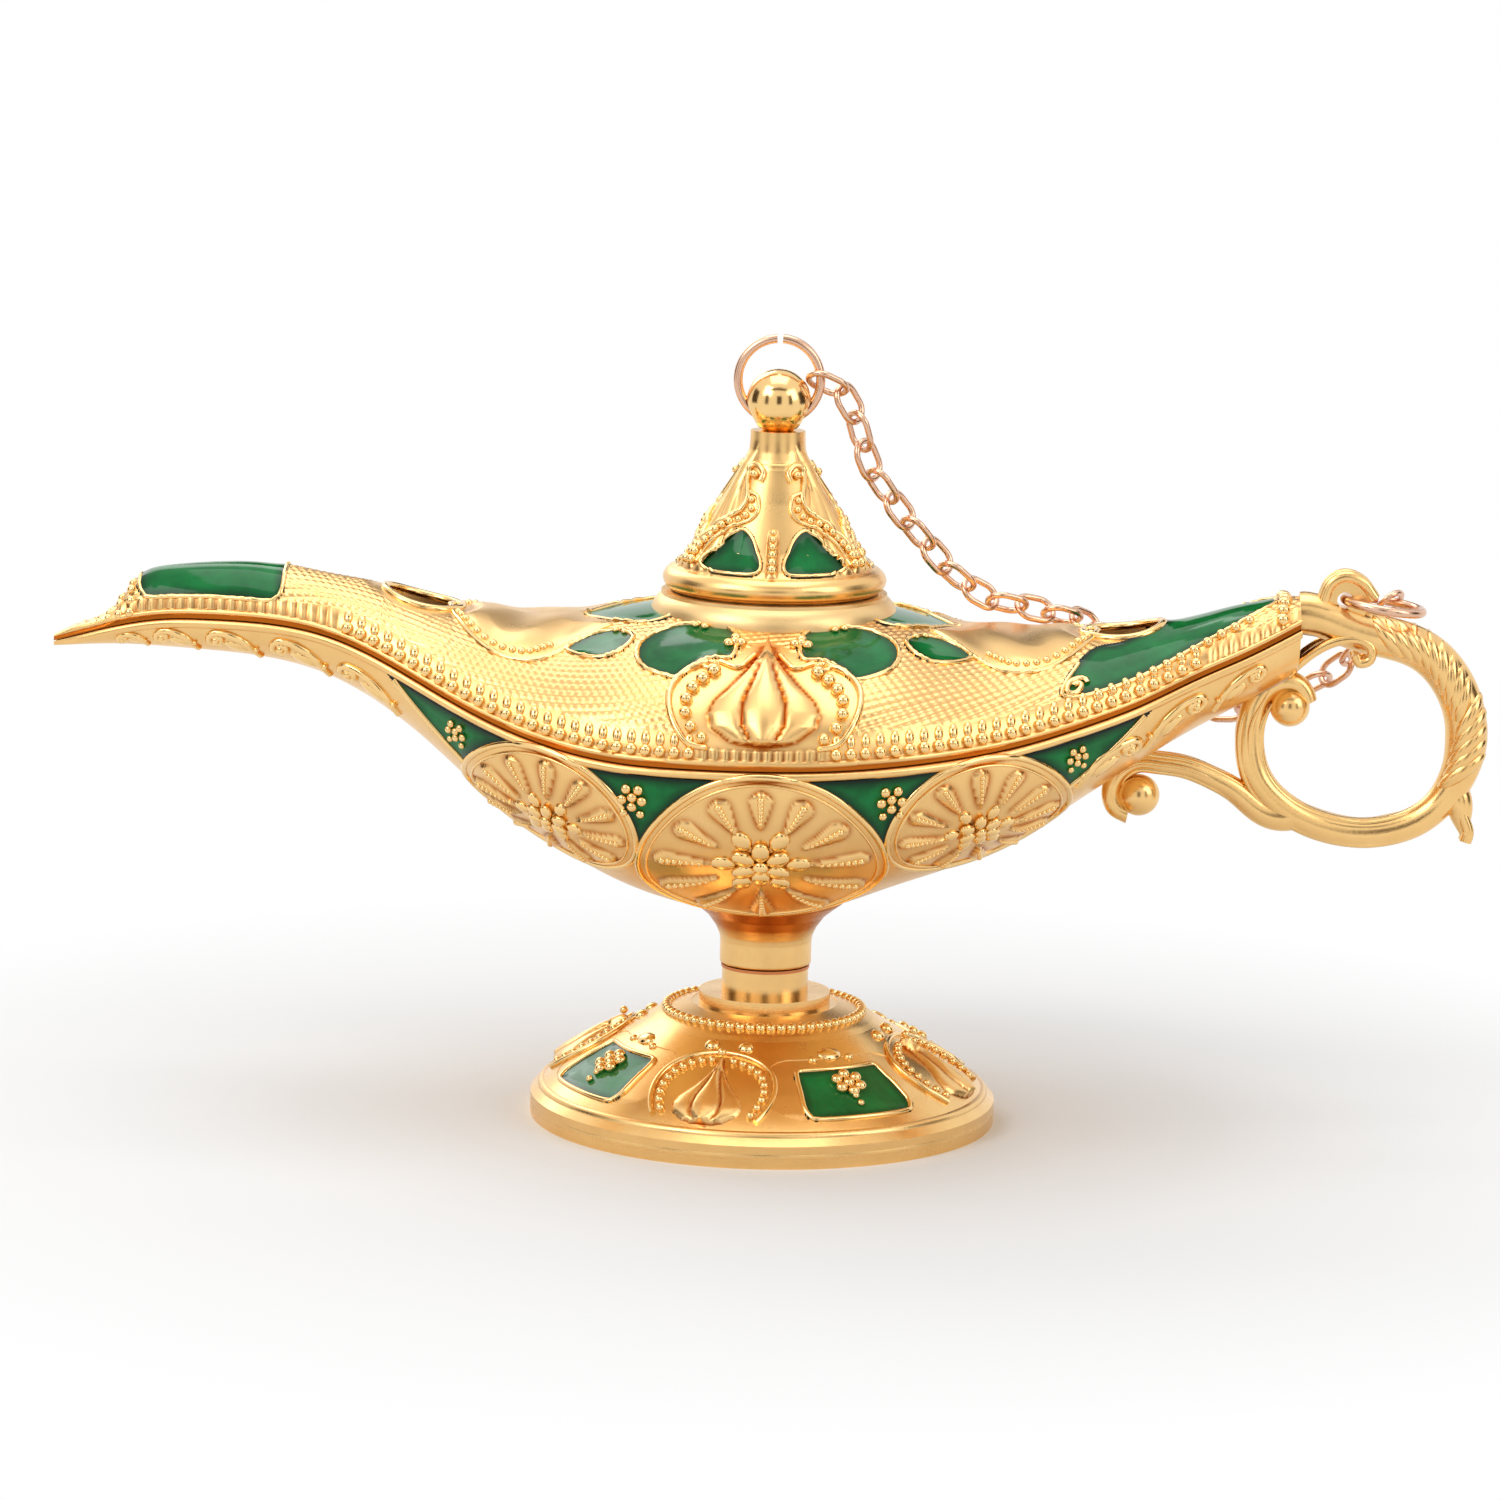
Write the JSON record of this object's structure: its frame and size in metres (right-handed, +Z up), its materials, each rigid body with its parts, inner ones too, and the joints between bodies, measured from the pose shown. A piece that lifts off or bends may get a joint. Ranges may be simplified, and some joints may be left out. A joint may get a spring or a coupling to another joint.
{
  "type": "genie oil lamp",
  "caption": "Footed oil lamp with a long spout, a scrolled loop handle and a domed lid chained to the handle, in gilt metal with green enamel fields.",
  "frame": {"origin": "centre of the foot on the resting plane", "axes": "+X from the spout to the handle, +Y to the back, +Z up"},
  "size_m": [0.1402, 0.05, 0.0773],
  "materials": {
    "gilt": "polished warm gold plate on cast metal",
    "satin_gilt": "satin gold plate",
    "enamel": "glossy translucent emerald enamel",
    "rose_gold_wire": "bright rose gold plated wire",
    "copper_seam": "coppery soldered seam",
    "steel_screw": "plain steel"
  },
  "bodies": {
    "root": {"bowl_enamel": "enamel", "collar": "satin_gilt", "crown_enamel": "enamel", "foot": "gilt", "foot_enamel": "enamel", "foot_screw": "steel_screw", "foot_washer": "steel_screw", "handle": "gilt", "lower_hull": "gilt", "spout_enamel": "enamel", "stem_seam": "copper_seam", "tail_enamel": "enamel", "upper_shell": "gilt"},
    "lid": {"lid": "gilt", "lid_enamel": "enamel", "finial": "gilt"},
    "finial_ring": {"finial_ring": "rose_gold_wire"},
    "handle_ring": {"handle_ring": "rose_gold_wire"},
    "chain_link_01": {"chain_link_01": "rose_gold_wire"},
    "chain_link_02": {"chain_link_02": "rose_gold_wire"},
    "chain_link_03": {"chain_link_03": "rose_gold_wire"},
    "chain_link_04": {"chain_link_04": "rose_gold_wire"},
    "chain_link_05": {"chain_link_05": "rose_gold_wire"},
    "chain_link_06": {"chain_link_06": "rose_gold_wire"},
    "chain_link_07": {"chain_link_07": "rose_gold_wire"},
    "chain_link_08": {"chain_link_08": "rose_gold_wire"},
    "chain_link_09": {"chain_link_09": "rose_gold_wire"},
    "chain_link_10": {"chain_link_10": "rose_gold_wire"},
    "chain_link_11": {"chain_link_11": "rose_gold_wire"},
    "chain_link_12": {"chain_link_12": "rose_gold_wire"},
    "chain_link_13": {"chain_link_13": "rose_gold_wire"},
    "chain_link_14": {"chain_link_14": "rose_gold_wire"},
    "chain_link_15": {"chain_link_15": "rose_gold_wire"},
    "chain_link_16": {"chain_link_16": "rose_gold_wire"},
    "chain_link_17": {"chain_link_17": "rose_gold_wire"},
    "chain_link_18": {"chain_link_18": "rose_gold_wire"},
    "chain_link_19": {"chain_link_19": "rose_gold_wire"},
    "chain_link_20": {"chain_link_20": "rose_gold_wire"},
    "chain_link_21": {"chain_link_21": "rose_gold_wire"},
    "chain_link_22": {"chain_link_22": "rose_gold_wire"},
    "chain_link_23": {"chain_link_23": "rose_gold_wire"},
    "chain_link_24": {"chain_link_24": "rose_gold_wire"},
    "chain_link_25": {"chain_link_25": "rose_gold_wire"},
    "chain_link_26": {"chain_link_26": "rose_gold_wire"},
    "chain_link_27": {"chain_link_27": "rose_gold_wire"}
  },
  "joints": [
    {"name": "lid_lift", "type": "slide", "parent": "root", "child": "lid", "axis": [0, 0, 1], "range_m": [0, 0.012]},
    {"name": "finial_ring_swing", "type": "hinge", "parent": "lid", "child": "finial_ring", "pos_m": [0, 0, 0.0696], "axis": [1, 0, 0], "range_deg": [-8, 2.4]},
    {"name": "handle_ring_turn", "type": "hinge", "parent": "root", "child": "handle_ring", "pos_m": [0.05535, 0, 0.05302], "axis": [0, 1, 0], "range_deg": [-41.68, 0.5]},
    {"name": "chain_link_01_turn", "type": "hinge", "parent": "root", "child": "chain_link_01", "pos_m": [0.05258, 0.00367, 0.0524], "axis": [0, 1, 0], "range_deg": [-26.41, 0.5]},
    {"name": "chain_link_02_turn", "type": "hinge", "parent": "root", "child": "chain_link_02", "pos_m": [0.04071, 0.00483, 0.05286], "axis": [0, 1, 0], "range_deg": [-10.04, 0.5]},
    {"name": "chain_link_03_turn", "type": "hinge", "parent": "root", "child": "chain_link_03", "pos_m": [0.08946, 0.00612, 0.04392], "axis": [0, 1, 0], "range_deg": [-0.5, 5.88]},
    {"name": "chain_link_04_turn", "type": "hinge", "parent": "root", "child": "chain_link_04", "pos_m": [0.06636, 0.00725, 0.04641], "axis": [0, 1, 0], "range_deg": [-0.5, 18.37]},
    {"name": "chain_link_05_turn", "type": "hinge", "parent": "root", "child": "chain_link_05", "pos_m": [0.06238, 0.00828, 0.04627], "axis": [0, 1, 0], "range_deg": [-0.5, 26.76]},
    {"name": "chain_link_06_turn", "type": "hinge", "parent": "root", "child": "chain_link_06", "pos_m": [0.06193, 0.0091, 0.04622], "axis": [0, 1, 0], "range_deg": [-0.5, 27.87]},
    {"name": "chain_link_07_turn", "type": "hinge", "parent": "root", "child": "chain_link_07", "pos_m": [0.0636, 0.00974, 0.04644], "axis": [0, 1, 0], "range_deg": [-0.5, 24.89]},
    {"name": "chain_link_08_turn", "type": "hinge", "parent": "root", "child": "chain_link_08", "pos_m": [0.06851, 0.01039, 0.04706], "axis": [0, 1, 0], "range_deg": [-0.5, 19.73]},
    {"name": "chain_link_09_turn", "type": "hinge", "parent": "root", "child": "chain_link_09", "pos_m": [0.08081, 0.01122, 0.04825], "axis": [0, 1, 0], "range_deg": [-0.5, 13.54]},
    {"name": "chain_link_10_turn", "type": "hinge", "parent": "root", "child": "chain_link_10", "pos_m": [0.10852, 0.01228, 0.04999], "axis": [0, 1, 0], "range_deg": [-0.5, 8.25]},
    {"name": "chain_link_11_turn", "type": "hinge", "parent": "root", "child": "chain_link_11", "pos_m": [0.14053, 0.01333, 0.05117], "axis": [0, 1, 0], "range_deg": [-0.5, 5.83]},
    {"name": "chain_link_12_turn", "type": "hinge", "parent": "root", "child": "chain_link_12", "pos_m": [0.1411, 0.0139, 0.05118], "axis": [0, 1, 0], "range_deg": [-0.5, 5.8]},
    {"name": "chain_link_13_turn", "type": "hinge", "parent": "root", "child": "chain_link_13", "pos_m": [0.11585, 0.0135, 0.05118], "axis": [0, 1, 0], "range_deg": [-0.5, 7.43]},
    {"name": "chain_link_14_turn", "type": "hinge", "parent": "root", "child": "chain_link_14", "pos_m": [0.09142, 0.01204, 0.05164], "axis": [0, 1, 0], "range_deg": [-0.5, 10.25]},
    {"name": "chain_link_15_turn", "type": "hinge", "parent": "root", "child": "chain_link_15", "pos_m": [0.0779, 0.0103, 0.05216], "axis": [0, 1, 0], "range_deg": [-0.5, 12.96]},
    {"name": "chain_link_16_turn", "type": "hinge", "parent": "root", "child": "chain_link_16", "pos_m": [0.07288, 0.00892, 0.05245], "axis": [0, 1, 0], "range_deg": [-0.5, 14.31]},
    {"name": "chain_link_17_turn", "type": "hinge", "parent": "root", "child": "chain_link_17", "pos_m": [0.07764, 0.00783, 0.05209], "axis": [0, 1, 0], "range_deg": [-0.5, 13.09]},
    {"name": "chain_link_18_turn", "type": "hinge", "parent": "root", "child": "chain_link_18", "pos_m": [0.10344, 0.00685, 0.04969], "axis": [0, 1, 0], "range_deg": [-0.5, 9.12]},
    {"name": "chain_link_19_turn", "type": "hinge", "parent": "root", "child": "chain_link_19", "pos_m": [0.2, 0.00595, 0.03918], "axis": [0, 1, 0], "range_deg": [-0.5, 4.51]},
    {"name": "chain_link_20_lift", "type": "slide", "parent": "root", "child": "chain_link_20", "axis": [0.1186, 0, 0.9929], "range_m": [-0.0002, 0.01309]},
    {"name": "chain_link_21_lift", "type": "slide", "parent": "root", "child": "chain_link_21", "axis": [0.1185, 0, 0.993], "range_m": [-0.0002, 0.01309]},
    {"name": "chain_link_22_turn", "type": "hinge", "parent": "root", "child": "chain_link_22", "pos_m": [-0.29755, 0.00371, 0.102], "axis": [0, 1, 0], "range_deg": [-2.85, 0.5]},
    {"name": "chain_link_23_turn", "type": "hinge", "parent": "root", "child": "chain_link_23", "pos_m": [-0.12565, 0.00305, 0.08287], "axis": [0, 1, 0], "range_deg": [-5.79, 0.5]},
    {"name": "chain_link_24_turn", "type": "hinge", "parent": "root", "child": "chain_link_24", "pos_m": [-0.06587, 0.00241, 0.07719], "axis": [0, 1, 0], "range_deg": [-9.95, 0.5]},
    {"name": "chain_link_25_turn", "type": "hinge", "parent": "root", "child": "chain_link_25", "pos_m": [-0.06001, 0.00183, 0.07683], "axis": [0, 1, 0], "range_deg": [-10.75, 0.5]},
    {"name": "chain_link_26_turn", "type": "hinge", "parent": "root", "child": "chain_link_26", "pos_m": [-0.13704, 0.00127, 0.0786], "axis": [0, 1, 0], "range_deg": [-5.3, 0.5]},
    {"name": "chain_link_27_lift", "type": "slide", "parent": "root", "child": "chain_link_27", "axis": [0.0076, 0, 1], "range_m": [-0.0002, 0.01217]}
  ],
  "couplings": [
    {"joint": "handle_ring_turn", "follows": "lid_lift", "rad_per_m": -59.894},
    {"joint": "chain_link_01_turn", "follows": "lid_lift", "rad_per_m": -37.688},
    {"joint": "chain_link_02_turn", "follows": "lid_lift", "rad_per_m": -13.869},
    {"joint": "chain_link_03_turn", "follows": "lid_lift", "rad_per_m": 7.827},
    {"joint": "chain_link_04_turn", "follows": "lid_lift", "rad_per_m": 25.992},
    {"joint": "chain_link_05_turn", "follows": "lid_lift", "rad_per_m": 38.196},
    {"joint": "chain_link_06_turn", "follows": "lid_lift", "rad_per_m": 39.809},
    {"joint": "chain_link_07_turn", "follows": "lid_lift", "rad_per_m": 35.48},
    {"joint": "chain_link_08_turn", "follows": "lid_lift", "rad_per_m": 27.97},
    {"joint": "chain_link_09_turn", "follows": "lid_lift", "rad_per_m": 18.966},
    {"joint": "chain_link_10_turn", "follows": "lid_lift", "rad_per_m": 11.271},
    {"joint": "chain_link_11_turn", "follows": "lid_lift", "rad_per_m": 7.749},
    {"joint": "chain_link_12_turn", "follows": "lid_lift", "rad_per_m": 7.707},
    {"joint": "chain_link_13_turn", "follows": "lid_lift", "rad_per_m": 10.073},
    {"joint": "chain_link_14_turn", "follows": "lid_lift", "rad_per_m": 14.177},
    {"joint": "chain_link_15_turn", "follows": "lid_lift", "rad_per_m": 18.121},
    {"joint": "chain_link_16_turn", "follows": "lid_lift", "rad_per_m": 20.092},
    {"joint": "chain_link_17_turn", "follows": "lid_lift", "rad_per_m": 18.307},
    {"joint": "chain_link_18_turn", "follows": "lid_lift", "rad_per_m": 12.535},
    {"joint": "chain_link_19_turn", "follows": "lid_lift", "rad_per_m": 5.835},
    {"joint": "chain_link_20_lift", "follows": "lid_lift", "ratio": 1.0743},
    {"joint": "chain_link_21_lift", "follows": "lid_lift", "ratio": 1.0741},
    {"joint": "chain_link_22_turn", "follows": "lid_lift", "rad_per_m": -3.423},
    {"joint": "chain_link_23_turn", "follows": "lid_lift", "rad_per_m": -7.7},
    {"joint": "chain_link_24_turn", "follows": "lid_lift", "rad_per_m": -13.739},
    {"joint": "chain_link_25_turn", "follows": "lid_lift", "rad_per_m": -14.906},
    {"joint": "chain_link_26_turn", "follows": "lid_lift", "rad_per_m": -6.975},
    {"joint": "chain_link_27_lift", "follows": "lid_lift", "ratio": 0.9972}
  ]
}
